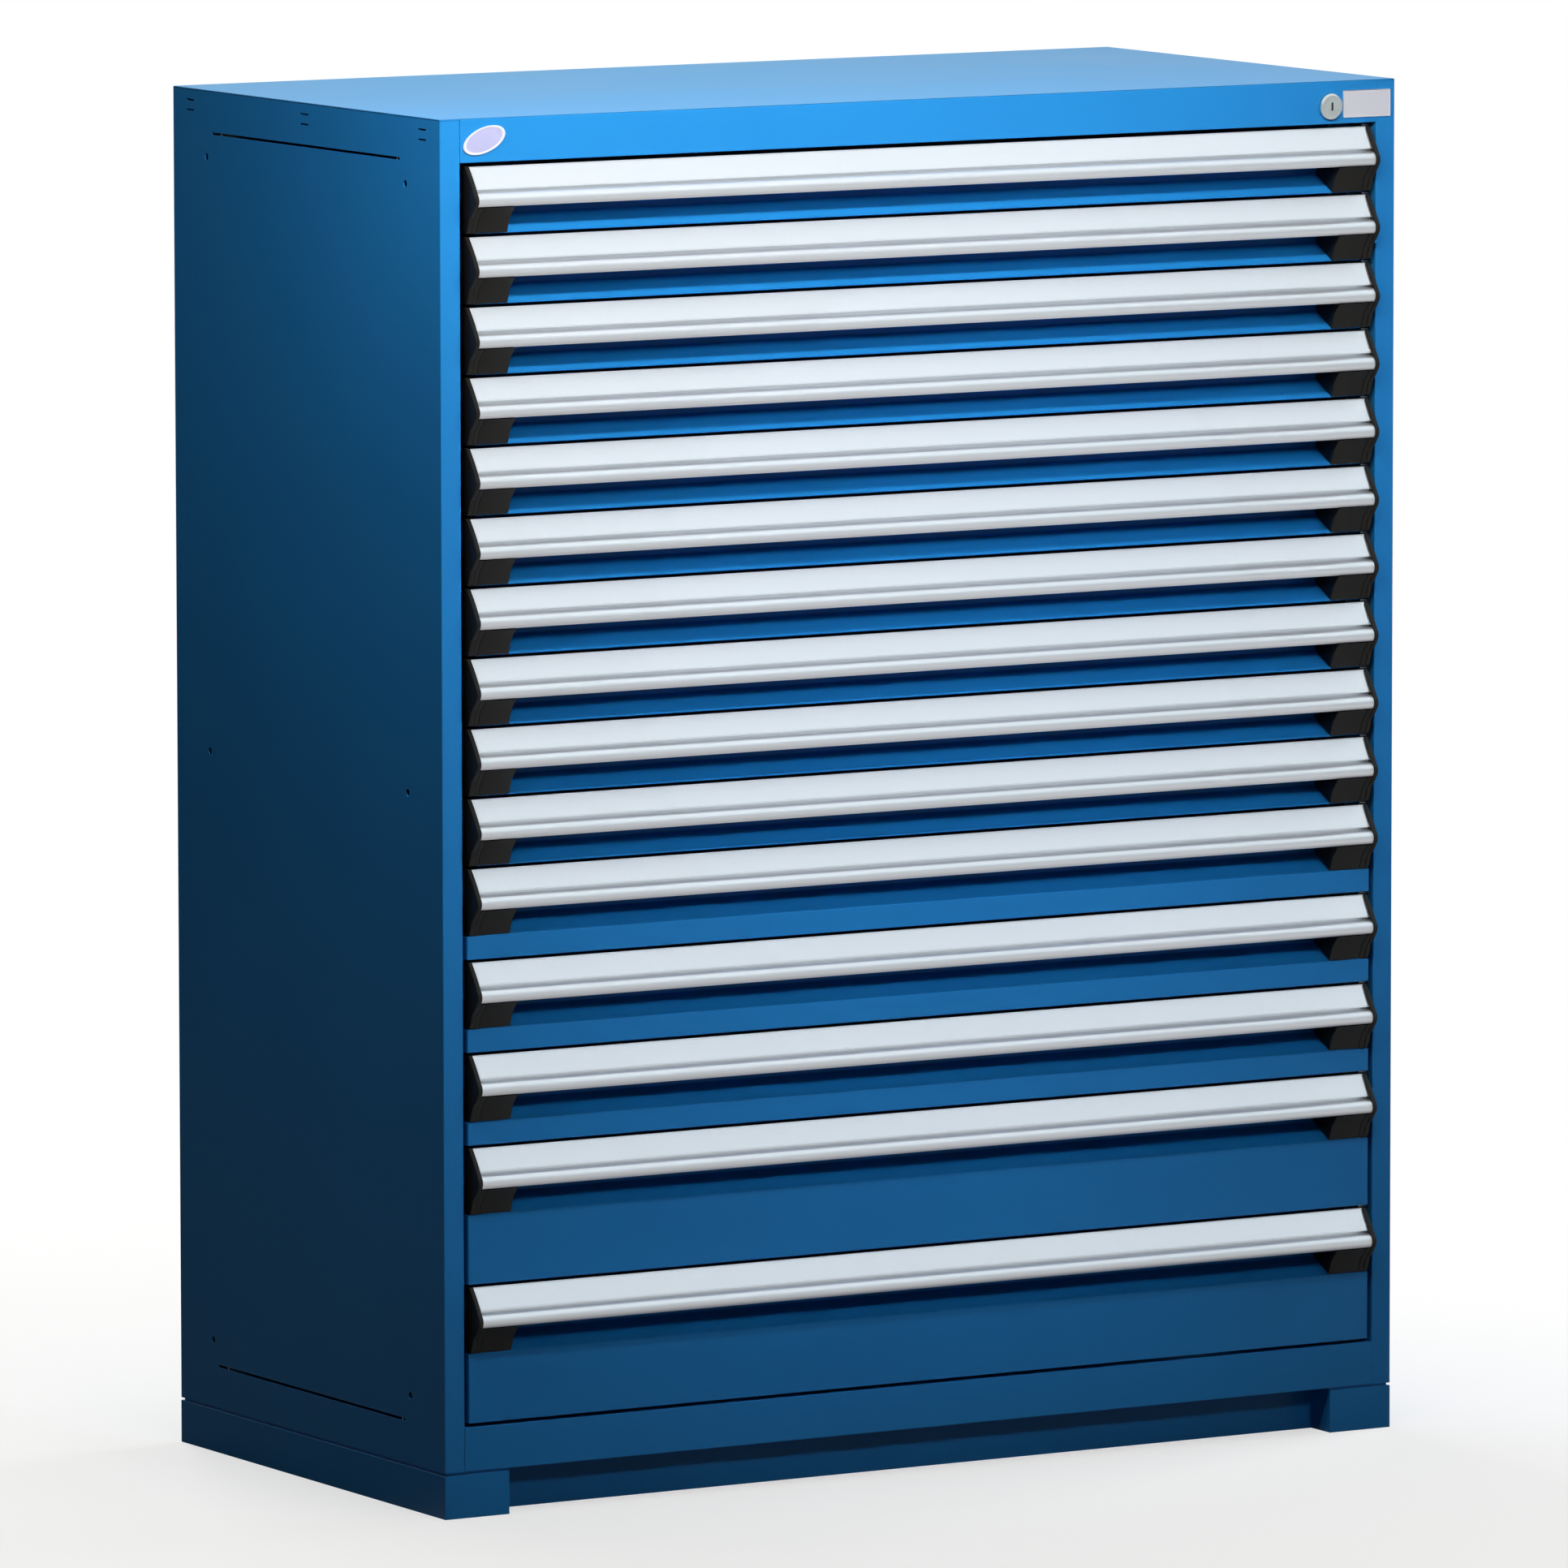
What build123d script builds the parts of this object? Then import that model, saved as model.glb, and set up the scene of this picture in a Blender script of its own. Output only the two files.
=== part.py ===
from build123d import *
import os
from math import cos, hypot, radians, sin

# Modular drawer cabinet: a steel housing on a base with a toe recess, and a stack of full-extension
# drawers. Each drawer has a full-width aluminium handle over a sloped finger recess.
# Frame: +Z up, drawers open towards -Y, +X to the right of someone who faces the drawers.
# The origin is on the floor, at the middle of the overall box with the handles in it.

# Housing, in millimetres
housing_width = 1219.2
housing_depth = 609.6
housing_sheet = 2.0
stile_width = 24.6
stile_return = 12.0
rear_return = 25.0
top_rail = 47.9
bottom_rail = 48.7
edge_break = 0.8

# Base
base_height = 50.8
base_sheet = 3.0
base_seam = 3.0
seat_width = 30.0
foot_width = 80.0
toe_recess = 40.0

# Drawer stack, from the top down
shallow_height = 76.2
middle_height = 101.6
deep_height = 152.4
shallow_count = 10
middle_count = 3
deep_count = 2
stack_margin = 2.5
front_gap = 1.7

# Openings in the side panels
side_slot_length = 430.0
side_slot_height = 3.0
side_slot_inset = 47.5
ganging_hole_radius = 4.0
ganging_hole_spacing = 454.0
ganging_low_rise = 75.5
ganging_high_drop = 74.0
louvre_length = 18.0
louvre_height = 2.0
louvre_pitch = 11.0
louvre_rows = 2
louvre_drop = 13.0
louvre_spacing = 265.0

# Uprights that carry the slides
upright_width = 40.0
upright_front_inset = 60.0
upright_back_inset = 70.0

# Drawer front and recess
front_sheet = 1.5
recess_depth = 33.0
recess_back_drop = 56.5
recess_roof_drop = 7.2
recess_roof_setback = 5.2
recess_end_inset = 19.0
panel_side_gap = 5.5
panel_return = 10.0

# Handle extrusion
handle_side_gap = 12.3
handle_wall = 2.0
handle_top_drop = 1.8
handle_top_setback = 2.5
handle_face_drop = 26.0
handle_face_reach = 12.3
handle_groove = 1.0
handle_web_setback = 14.0
lip_centre_reach = 11.2
lip_centre_drop = 37.8
lip_radius = 8.8
lip_upper_angle = 62.0
lip_lower_angle = -50.0
lip_flats = 5

# Handle end caps
cap_wall = 5.0
cap_margin = 1.0
cap_top_drop = 1.3
cap_back = 10.0
cap_bulge = 4.0
cap_brow_flats = 3
cap_nose_angles = [45.0, 0.0, -45.0]
cap_knee_reach = 6.2
cap_knee_drop = 58.0
cap_foot_gap = 0.5
cap_block_width = 46.0
cap_block_gap = 0.8

# Drawer box
box_side_gap = 29.0
box_wall = 1.5
box_top_drop = 9.0
box_back_gap = 22.0

# Roller slides
drawer_travel = 540.0
channel_drop = 20.0
channel_height = 26.0
channel_wall = 2.0
outer_channel_width = 12.7
inner_channel_width = 12.9
outer_channel_front = 26.0
outer_channel_back_gap = 16.0
inner_channel_front = 36.0
carriage_wall = 2.0
carriage_height = 20.0
carriage_front = 30.0
carriage_back_gap = 28.0
roller_fit = 0.05
roller_side_gap = 0.6
roller_end_gap = 1.5
roller_faces = 8

# Lock in the top rail
lock_side_inset = 86.6
lock_drop = 28.0
bezel_radius = 14.5
bezel_reach = 7.0
bezel_chamfer = 2.0
barrel_radius = 13.0
barrel_flats = 8
barrel_length = 9.0
barrel_hole_gap = 0.2
clip_width = 32.0
clip_wall = 1.5
plug_radius = 11.0
plug_setback = 0.4
plug_fit = 0.05
keyway_width = 2.2
keyway_height = 9.0
keyway_depth = 3.0
cam_gap = 0.3
cam_wall = 2.0
cam_width = 8.0
cam_throw = 12.0
cam_pin_radius = 2.0
cam_pin_gap = 3.0
cam_slot_gap = 1.0

# Lock bar and catches
bar_gap = 0.3
bar_wall = 3.0
bar_width = 16.0
toe_wall = 2.5
toe_height = 10.0
toe_front = 14.5
toe_reach = 9.5
toe_foot = 12.0
toe_drop = 0.5
bar_head_height = 16.0
catch_wall = 2.0
catch_drop = 13.0
catch_play = 1.0
catch_arm_width = 15.0
catch_side_gap = 2.0
catch_weld_length = 24.0

# Places worked out from the sizes above, and the length of a cutter that goes right through a sheet
drawer_heights = (
    [shallow_height] * shallow_count + [middle_height] * middle_count + [deep_height] * deep_count
)
opening_bottom = base_height + bottom_rail
opening_top = opening_bottom + sum(drawer_heights) + 2 * stack_margin
housing_height = opening_top + top_rail
side_x = housing_width / 2
opening_x = side_x - stile_width
foot_x = side_x - foot_width
panel_x = opening_x - panel_side_gap
recess_x = opening_x - recess_end_inset
handle_x = opening_x - handle_side_gap
cap_x = handle_x + cap_wall
block_x = handle_x - cap_block_width
box_x = opening_x - box_side_gap
handle_reach = lip_centre_reach + lip_radius + cap_margin
front_y = (handle_reach - housing_depth) / 2
back_y = front_y + housing_depth
box_front_y = front_y + recess_depth + front_sheet
box_back_y = back_y - box_back_gap
crease_z = front_gap - shallow_height
channel_top_z = -channel_drop
channel_low_z = channel_top_z - channel_height
roller_radius = channel_height / 2 - channel_wall - roller_fit
roller_z = (channel_top_z + channel_low_z) / 2
inner_tip_x = box_x + inner_channel_width
outer_tip_x = opening_x - outer_channel_width
carriage_x = (inner_tip_x + outer_tip_x - carriage_wall) / 2
toe_back_y = front_y + toe_front + toe_wall
punch_length = 4 * housing_sheet
lock_x = side_x - lock_side_inset
lock_z = housing_height - lock_drop


# A plate between two corners
def plate(x0, x1, y0, y1, z0, z1):
    return Pos(x0, y0, z0) * Box(x1 - x0, y1 - y0, z1 - z0, align=(Align.MIN, Align.MIN, Align.MIN))


# A closed outline of straight runs
def outline(points):
    return make_face(Polyline(*points, close=True))


# Faces drawn in the side, front or plan view and drawn out along X, Y or Z
def along_x(face, x0, x1):
    return Pos(x0, 0, 0) * extrude(Plane.YZ * face, amount=x1 - x0, dir=(1, 0, 0))


def along_y(face, y0, y1):
    return Pos(0, y0, 0) * extrude(Plane.XZ * face, amount=y1 - y0, dir=(0, 1, 0))


def along_z(face, z0, z1):
    return Pos(0, 0, z0) * extrude(face, amount=z1 - z0, dir=(0, 0, 1))


# A shape together with its mirror image on the other side of the cabinet
def both_sides(shape):
    return [shape, mirror(shape, Plane.YZ)]


def left_normal(a, b):
    length = hypot(b[0] - a[0], b[1] - a[1])
    return (a[1] - b[1]) / length, (b[0] - a[0]) / length


# The section of a folded sheet: the path is one face of it, and its thickness lies to the left
def folded(path, thickness):
    normals = [left_normal(a, b) for a, b in zip(path, path[1:])]
    inner = []
    for (u, v), n, m in zip(path, normals[:1] + normals, normals + normals[-1:]):
        spread = 1 + n[0] * m[0] + n[1] * m[1]
        du = thickness * (n[0] + m[0]) / spread
        dv = thickness * (n[1] + m[1]) / spread
        inner.append((u + du, v + dv))
    return outline(path + inner[::-1])


# Side-view point from how far it stands out of the front plane, and its height
def side_point(reach, z):
    return front_y - reach, z


# Side panel with its folded stile, rear flange, slots, ganging holes and louvres
def side_panel_left():
    path = [
        (rear_return - side_x, back_y),
        (-side_x, back_y),
        (-side_x, front_y),
        (-opening_x, front_y),
        (-opening_x, front_y + stile_return),
    ]
    section = folded(path, housing_sheet)
    corners = [section.vertices().sort_by_distance((u, v))[0] for u, v in path[1:4]]
    panel = along_z(chamfer(corners, edge_break), base_height, housing_height - housing_sheet)
    middle_y = (front_y + back_y) / 2
    cut = [-side_x - housing_sheet, -side_x + 2 * housing_sheet]
    slot_back = middle_y + side_slot_length / 2
    for slot_z in (base_height + side_slot_inset, housing_height - side_slot_inset):
        low = slot_z - side_slot_height / 2
        panel -= plate(*cut, middle_y - side_slot_length / 2, slot_back, low, low + side_slot_height)
    low_hole = base_height + ganging_low_rise
    high_hole = housing_height - ganging_high_drop
    for hole_z in (low_hole, (low_hole + high_hole) / 2, high_hole):
        for hole_y in (middle_y - ganging_hole_spacing / 2, middle_y + ganging_hole_spacing / 2):
            hole = Cylinder(ganging_hole_radius, punch_length, rotation=(0, 90, 0))
            panel -= Pos(-side_x, hole_y, hole_z) * hole
    for louvre_y in (middle_y - louvre_spacing, middle_y, middle_y + louvre_spacing):
        for row in range(louvre_rows):
            low = housing_height - louvre_drop - row * louvre_pitch - louvre_height / 2
            start = louvre_y - louvre_length / 2
            panel -= plate(*cut, start, start + louvre_length, low, low + louvre_height)
    return panel


# Back panel between the side panels, in front of their rear flanges
def back_panel():
    half = side_x - housing_sheet
    back = back_y - housing_sheet
    return plate(-half, half, back - housing_sheet, back, base_height, housing_height - housing_sheet)


# Top panel folded down into the front rail, with the hole for the lock
def top_panel():
    path = [
        (back_y, housing_height),
        (front_y, housing_height),
        (front_y, opening_top),
        (front_y + stile_return, opening_top),
    ]
    panel = along_x(folded(path, housing_sheet), -opening_x, opening_x)
    low = housing_height - housing_sheet
    for wing in both_sides(plate(opening_x, side_x, front_y, back_y, low, housing_height)):
        panel += wing
    rims = panel.faces().sort_by(Axis.Z)[-1].edges()
    panel = chamfer(rims, edge_break)
    hole = Cylinder(barrel_radius + barrel_hole_gap, punch_length, rotation=(90, 0, 0))
    return panel - Pos(lock_x, front_y, lock_z) * hole


# Bottom panel folded up into the lower front rail
def bottom_panel():
    back = back_y - 2 * housing_sheet
    path = [
        (front_y + stile_return, opening_bottom),
        (front_y, opening_bottom),
        (front_y, base_height),
        (back, base_height),
    ]
    panel = along_x(folded(path, housing_sheet), -opening_x, opening_x)
    wing = plate(
        opening_x, side_x - housing_sheet, front_y + stile_return, back, base_height,
        base_height + housing_sheet,
    )
    for piece in both_sides(wing):
        panel += piece
    return panel


# Base wall with two front feet, and the inner seat that keeps the seam open under the housing
def base_frame():
    path = [
        (foot_x, front_y + toe_recess),
        (foot_x, front_y),
        (side_x, front_y),
        (side_x, back_y),
        (-side_x, back_y),
        (-side_x, front_y),
        (-foot_x, front_y),
        (-foot_x, front_y + toe_recess),
    ]
    wall = along_z(folded(path, base_sheet), 0, base_height - base_seam)
    seat_x = side_x - base_sheet
    seat_path = [
        (foot_x, front_y + base_sheet),
        (seat_x, front_y + base_sheet),
        (seat_x, back_y - base_sheet),
        (-seat_x, back_y - base_sheet),
        (-seat_x, front_y + base_sheet),
        (-foot_x, front_y + base_sheet),
    ]
    return wall + along_z(folded(seat_path, seat_width), base_height - 2 * base_seam, base_height)


# Recessed toe plate between the feet
def base_toe_plate():
    front = front_y + toe_recess
    half = foot_x + base_sheet
    return plate(-half, half, front, front + base_sheet, 0, base_height)


# Front and rear upright channels on the left side panel
def uprights_left():
    wall_x = side_x - housing_sheet
    columns = []
    for start in (front_y + upright_front_inset, back_y - upright_back_inset - upright_width):
        path = [
            (-wall_x, start),
            (-opening_x, start),
            (-opening_x, start + upright_width),
            (-wall_x, start + upright_width),
        ]
        section = folded(path, housing_sheet)
        columns.append(along_z(section, base_height + housing_sheet, housing_height - housing_sheet))
    return columns


# Outer slide channel, fixed to the uprights and open towards the drawer, at one drawer's height
def cabinet_rail_right():
    path = [
        (outer_tip_x, channel_low_z),
        (opening_x, channel_low_z),
        (opening_x, channel_top_z),
        (outer_tip_x, channel_top_z),
    ]
    section = folded(path, channel_wall)
    return along_y(section, front_y + outer_channel_front, back_y - outer_channel_back_gap)


# Inner slide channel, welded to the drawer's side and open outwards
def drawer_rail_right():
    path = [
        (inner_tip_x, channel_top_z),
        (box_x, channel_top_z),
        (box_x, channel_low_z),
        (inner_tip_x, channel_low_z),
    ]
    return along_y(folded(path, channel_wall), front_y + inner_channel_front, box_back_y)


# Slide carriage: a flat bar with rollers that run in the outer channel at its rear half
# and in the inner channel at its front half, and stay inside both at full travel.
# The cabinet has 120 rollers, so each one is a prism of a few faces
def carriage_right():
    start = front_y + carriage_front
    end = back_y - carriage_back_gap
    bar_x = carriage_x + carriage_wall
    middle = roller_z
    half = carriage_height / 2
    pieces = [plate(carriage_x, bar_x, start, end, middle - half, middle + half)]
    edge = roller_radius + roller_end_gap
    outer_length = opening_x - channel_wall - roller_side_gap - bar_x
    inner_length = carriage_x - box_x - channel_wall - roller_side_gap
    outer_first = front_y + outer_channel_front + drawer_travel / 2 + edge
    inner_last = box_back_y - drawer_travel / 2 - edge
    section = RegularPolygon(roller_radius, roller_faces)
    for y in (outer_first, end - edge):
        pieces.append(along_x(Pos(y, middle) * section, bar_x, bar_x + outer_length))
    for y in (front_y + inner_channel_front + edge, inner_last):
        pieces.append(along_x(Pos(y, middle) * section, carriage_x - inner_length, carriage_x))
    return pieces


# Folded drawer front: bottom flange, flat panel, sloped recess floor, recess back and roof
def drawer_front(height):
    bottom_z = front_gap - height
    path = [side_point(-recess_depth - front_sheet, bottom_z), side_point(0, bottom_z)]
    if height > shallow_height:
        path.append(side_point(0, crease_z))
    path.append(side_point(-recess_depth, -recess_back_drop))
    path.append(side_point(-recess_depth, -recess_roof_drop))
    path.append(side_point(-recess_roof_setback, -recess_roof_drop))
    front = along_x(folded(path, -front_sheet), -recess_x, recess_x)
    if height > shallow_height:
        edge_path = [(recess_x, front_y), (panel_x, front_y), (panel_x, front_y + panel_return)]
        edge = along_z(folded(edge_path, front_sheet), bottom_z, crease_z - cap_foot_gap)
        for piece in both_sides(edge):
            front += piece
    return front


# Open drawer box behind the recess
def drawer_tray(height):
    bottom_z = front_gap - height
    tray = plate(-box_x, box_x, box_front_y, box_back_y, bottom_z, -box_top_drop)
    inner_x = box_x - box_wall
    inner_front = box_front_y + box_wall
    inner_back = box_back_y - box_wall
    return tray - plate(-inner_x, inner_x, inner_front, inner_back, bottom_z + box_wall, 0)


# Catch plate on the drawer's right side, which the lock bar's toe blocks
def drawer_catch():
    front = toe_back_y + catch_play
    root = box_front_y + front_sheet
    tip_x = opening_x - catch_side_gap
    arm_x = tip_x - catch_arm_width
    points = [
        (box_x, root),
        (arm_x, root),
        (arm_x, front),
        (tip_x, front),
        (tip_x, root + catch_weld_length),
        (box_x, root + catch_weld_length),
    ]
    return along_z(outline(points), -catch_drop - catch_wall, -catch_drop)


# Handle extrusion: a top web on the recess roof, a slanted label face, a groove and a curled lip
def drawer_handle():
    top = (-handle_top_setback, -handle_top_drop)
    low = (handle_face_reach, -handle_face_drop)
    n = left_normal(top, low)
    back_top = (top[0] - n[0] * handle_wall, top[1] - n[1] * handle_wall)
    back_low = (low[0] - n[0] * handle_wall, low[1] - n[1] * handle_wall)
    slant = (low[0] - top[0]) / (low[1] - top[1])
    web_low = front_sheet - recess_roof_drop
    web_top = web_low + handle_wall
    sweep = lip_lower_angle - lip_upper_angle
    outer = [lip_point(lip_radius, lip_upper_angle + sweep * i / lip_flats) for i in range(lip_flats + 1)]
    inner = [lip_point(lip_radius - handle_wall, lip_upper_angle + sweep * t) for t in (1, 0.5, 0)]
    root = ((low[0] + outer[0][0]) / 2 - handle_groove, (low[1] + outer[0][1]) / 2 - handle_groove / 2)
    web = [
        back_low,
        (back_top[0] + slant * (web_low - back_top[1]), web_low),
        (-handle_web_setback, web_low),
        (-handle_web_setback, web_top),
        (back_top[0] + slant * (web_top - back_top[1]), web_top),
        back_top,
    ]
    section = [top, low, root] + outer + inner + web
    return along_x(outline([side_point(*p) for p in section]), -handle_x, handle_x)


# Point on a circle about the centre of the lip, as reach and height
def lip_point(radius, angle):
    return (
        lip_centre_reach + radius * cos(radians(angle)),
        radius * sin(radians(angle)) - lip_centre_drop,
    )


# Moulded end cap: a thin cheek that follows the handle and a block that closes the recess's end
def handle_cap_right():
    radius = lip_radius + cap_margin
    brow = (-handle_top_setback, -cap_top_drop)
    nose = [lip_point(radius, angle) for angle in cap_nose_angles]
    upper, lower = nose[0], nose[-1]
    knee = (cap_knee_reach, -cap_knee_drop)
    foot_z = crease_z + cap_foot_gap
    n = left_normal(brow, upper)
    # The brow bulges as a parabola, drawn as a few flats
    belly = []
    for t in [i / cap_brow_flats for i in range(1, cap_brow_flats)]:
        bulge = 4 * cap_bulge * t * (1 - t)
        belly.append(tuple(brow[i] + t * (upper[i] - brow[i]) + bulge * n[i] for i in range(2)))
    profile = [brow] + belly + nose + [knee, (0, foot_z), (-cap_back, foot_z), (-cap_back, -cap_top_drop)]
    cap = along_x(outline([side_point(*p) for p in profile]), handle_x, cap_x)
    top_z = lip_point(lip_radius, lip_lower_angle)[1] - cap_block_gap
    fall = (lower[1] - top_z) / (lower[1] - knee[1])
    crown = (lower[0] + fall * (knee[0] - lower[0]), top_z)
    rise = (recess_back_drop + crease_z) / -recess_depth
    for x0, x1, depth in ((block_x, recess_x, recess_depth), (recess_x, handle_x, cap_back)):
        floor_z = crease_z + rise * depth
        points = [crown, knee, (0, crease_z), (-depth, floor_z), (-depth, top_z)]
        cap += along_x(outline([side_point(*p) for p in points]), x0, x1)
    return cap


# Lock housing with its bezel and flatted barrel, and the forked clip that grips two of its flats
# behind the rail
def lock_housing():
    rim = front_y - bezel_reach
    tail = front_y + barrel_length
    points = [
        (0, rim),
        (0, front_y),
        (bezel_radius, front_y),
        (bezel_radius, rim + bezel_chamfer),
        (bezel_radius - bezel_chamfer, rim),
    ]
    half_turn = 180 / barrel_flats
    barrel = RegularPolygon(barrel_radius, barrel_flats, rotation=half_turn)
    body = revolve(outline(points), Axis.Y) + along_y(barrel, front_y, tail)
    body -= along_y(Circle(plug_radius), rim, tail)
    inside = front_y + housing_sheet
    half = clip_width / 2
    slot_half = barrel_radius * cos(radians(half_turn)) + plug_fit
    clip = plate(-half, half, inside, inside + clip_wall, -half, half)
    clip -= plate(-slot_half, slot_half, inside, inside + clip_wall, -slot_half, half)
    return [Pos(lock_x, 0, lock_z) * piece for piece in (body, clip)]


# Key plug with its keyway, and the cam and pin that move the lock bar
def lock_plug():
    face = front_y - bezel_reach + plug_setback
    cam = front_y + barrel_length + cam_gap
    cam_back = cam + cam_wall
    plug = along_y(Circle(plug_radius - plug_fit), face, cam_back)
    half = keyway_width / 2
    tall = keyway_height / 2
    plug -= plate(-half, half, face, face + keyway_depth, -tall, tall)
    side = cam_width / 2
    plug += plate(0, cam_throw + side, cam, cam_back, -side, side)
    plug += along_y(Pos(cam_throw, 0) * Circle(cam_pin_radius), cam_back, toe_back_y + cam_gap)
    return Pos(lock_x, 0, lock_z) * plug


# Lock bar behind the right stile: a flat bar, a folded toe welded on for each drawer, and a head
# with the slot for the cam pin
def lock_bar(drawer_tops):
    inner = opening_x + housing_sheet + bar_gap
    front = front_y + housing_sheet + bar_gap
    back = front + bar_wall
    toe_y = front_y + toe_front
    low = drawer_tops[-1] - toe_drop - toe_height
    head_low = lock_z - bar_head_height / 2
    head_high = lock_z + bar_head_height / 2
    pieces = [plate(inner, inner + bar_width, front, back, low, head_high)]
    slot_low_x = lock_x - cam_pin_radius - cam_slot_gap
    slot_high_x = lock_x + cam_throw + cam_pin_radius + cam_slot_gap
    slot_half = cam_pin_radius + cam_pin_gap
    spans = [(opening_x - toe_reach, z - toe_drop - toe_height, z - toe_drop) for z in drawer_tops]
    spans.append((slot_low_x - bar_wall, head_low, head_high))
    for reach_x, z0, z1 in spans:
        path = [(inner + toe_foot, back), (inner, back), (inner, toe_y), (reach_x, toe_y)]
        pieces.append(along_z(folded(path, -toe_wall), z0, z1))
    slot = plate(slot_low_x, slot_high_x, toe_y, toe_back_y, lock_z - slot_half, lock_z + slot_half)
    pieces[-1] -= slot
    return pieces


def save(name, pieces):
    solids = pieces if isinstance(pieces, list) else [pieces]
    shape = solids[0] if len(solids) == 1 else Compound(solids)
    export_step(shape, f"parts/{name}.step")


def build():
    os.makedirs("parts", exist_ok=True)
    left = side_panel_left()
    save("side_panel_left", left)
    save("side_panel_right", mirror(left, Plane.YZ))
    save("back_panel", back_panel())
    save("top_panel", top_panel())
    save("bottom_panel", bottom_panel())
    save("base_frame", base_frame())
    save("base_toe_plate", base_toe_plate())
    columns = uprights_left()
    save("uprights_left", columns)
    save("uprights_right", [mirror(column, Plane.YZ) for column in columns])

    first_top = opening_top - stack_margin
    tops = [first_top - sum(drawer_heights[:i]) for i in range(len(drawer_heights))]
    rail = cabinet_rail_right()
    save("cabinet_rails_right", [Pos(0, 0, top) * rail for top in tops])
    save("cabinet_rails_left", [Pos(0, 0, top) * mirror(rail, Plane.YZ) for top in tops])
    save("lock_housing", lock_housing())
    save("lock_plug", lock_plug())
    save("lock_bar", lock_bar(tops))

    handle = [drawer_handle()] + both_sides(handle_cap_right())
    carriage = [copy for piece in carriage_right() for copy in both_sides(piece)]
    rails = both_sides(drawer_rail_right())
    boxes = {h: [drawer_front(h), drawer_tray(h), drawer_catch()] + rails for h in set(drawer_heights)}
    for number, (height, top) in enumerate(zip(drawer_heights, tops), start=1):
        name = f"drawer_{number:02d}"
        save(f"{name}_box", [Pos(0, 0, top) * piece for piece in boxes[height]])
        save(f"{name}_handle", [Pos(0, 0, top) * piece for piece in handle])
        save(f"{name}_carriage", [Pos(0, 0, top) * piece for piece in carriage])


build()
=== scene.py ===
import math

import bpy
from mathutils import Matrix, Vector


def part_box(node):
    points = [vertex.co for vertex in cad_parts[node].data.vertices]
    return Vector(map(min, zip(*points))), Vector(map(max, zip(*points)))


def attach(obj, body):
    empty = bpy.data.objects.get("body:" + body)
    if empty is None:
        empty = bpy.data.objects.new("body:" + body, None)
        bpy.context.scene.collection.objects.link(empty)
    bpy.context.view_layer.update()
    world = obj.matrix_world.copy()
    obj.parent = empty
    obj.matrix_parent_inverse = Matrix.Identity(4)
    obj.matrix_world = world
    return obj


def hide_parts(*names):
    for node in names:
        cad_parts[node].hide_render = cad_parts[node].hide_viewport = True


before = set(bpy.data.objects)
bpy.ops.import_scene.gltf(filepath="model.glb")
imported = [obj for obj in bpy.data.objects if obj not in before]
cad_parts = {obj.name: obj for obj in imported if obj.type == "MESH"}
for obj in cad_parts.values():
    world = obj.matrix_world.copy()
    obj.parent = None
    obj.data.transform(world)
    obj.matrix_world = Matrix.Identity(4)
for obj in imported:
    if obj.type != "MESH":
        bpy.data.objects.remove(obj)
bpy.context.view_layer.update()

# %% [markdown]
# # A modular drawer cabinet
# The imported model is the fixed frame: a steel housing on a base, fifteen drawers on roller
# slides, and a lock. Everything here is in metres and in that frame: Z up, drawers opening
# towards -Y. The places of the new pieces could all be typed in, but where a part of the frame
# shows a size it is read from there, so the pieces fit.


def mm(value):
    return value / 1000


front_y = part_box("top_panel")[0].y
back_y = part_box("top_panel")[1].y
housing_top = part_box("top_panel")[1].z
opening_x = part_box("cabinet_rails_right")[1].x
print("front plane at", round(front_y, 4), "opening half-width", round(opening_x, 4))

# %% [markdown]
# ## Colours and a way to add shader nodes
# Colours are written as sRGB hex values, as a paint card gives them, and turned to linear light
# by one function. Shader nodes could be placed one by one in the editor. In a script, a small
# function that adds a node, sets it and links it keeps a material to a few lines, and short ones
# on top of it give the noise, the change of range and the bump that the materials below share.

# %% Colour and node helpers
def colour(hex_value):
    channels = [int(hex_value[i:i + 2], 16) / 255 for i in (1, 3, 5)]
    linear = [c / 12.92 if c <= 0.04045 else ((c + 0.055) / 1.055) ** 2.4 for c in channels]
    return (*linear, 1.0)


def add_node(tree, kind, inputs=None, **settings):
    node = tree.nodes.new(kind)
    for name, value in settings.items():
        setattr(node, name, value)
    for name, value in (inputs or {}).items():
        if isinstance(value, bpy.types.NodeSocket):
            tree.links.new(value, node.inputs[name])
        else:
            node.inputs[name].default_value = value
    return node


def new_material(name):
    material = bpy.data.materials.new(name)
    material.use_nodes = True
    tree = material.node_tree
    return material, tree, tree.nodes["Principled BSDF"]


def per_metre(size_in_mm):
    return 1000 / size_in_mm


def noise(tree, vector, scale, detail=2.0):
    inputs = {"Vector": vector, "Scale": scale, "Detail": detail}
    return add_node(tree, "ShaderNodeTexNoise", inputs).outputs["Fac"]


def map_range(tree, value, to_min=0.0, to_max=1.0, from_min=0.0, from_max=1.0):
    inputs = {
        "Value": value, "From Min": from_min, "From Max": from_max,
        "To Min": to_min, "To Max": to_max,
    }
    return add_node(tree, "ShaderNodeMapRange", inputs).outputs["Result"]


def bump_from(tree, height, strength, distance):
    inputs = {"Height": height, "Strength": strength, "Distance": distance}
    return add_node(tree, "ShaderNodeBump", inputs).outputs["Normal"]


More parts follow.
